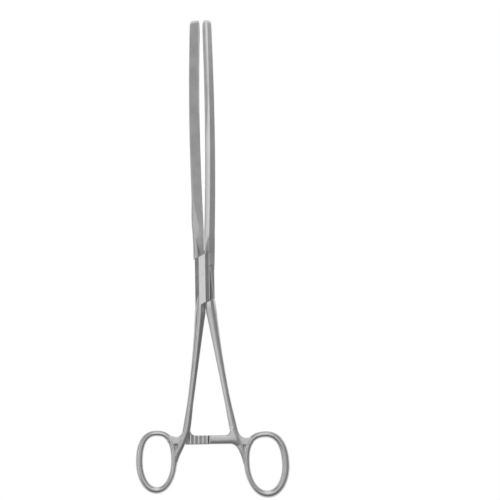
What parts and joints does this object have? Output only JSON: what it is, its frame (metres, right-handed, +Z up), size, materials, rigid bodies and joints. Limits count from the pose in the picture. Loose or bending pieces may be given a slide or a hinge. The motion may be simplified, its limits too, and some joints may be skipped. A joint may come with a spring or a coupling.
{
  "type": "intestinal clamp",
  "caption": "Long curved surgical clamp with grooved jaws, a box lock, a ratchet and finger rings, for holding bowel closed.",
  "frame": {"origin": "on the table under the middle of the clamp's bounding box, with the clamp lying at rest on its jaw tips and finger rings", "axes": "+Y from the finger rings towards the jaw tips, +X across the clamp towards the side with the larger ring, +Z up; the jaws curve down towards the table"},
  "size_m": [0.082, 0.257, 0.0307],
  "materials": {
    "satin_steel": "satin",
    "pin_steel": "satin"
  },
  "bodies": {
    "female": {"female_half": "satin_steel", "pivot_pin": "pin_steel"},
    "male": {"male_half": "satin_steel"}
  },
  "joints": [
    {"name": "box_lock_hinge", "type": "hinge", "parent": "female", "child": "male", "pos_m": [-0.00284, -0.0129, 0.01758], "axis": [0, -0.1354, 0.9908], "range_deg": [-0.5, 40]}
  ]
}
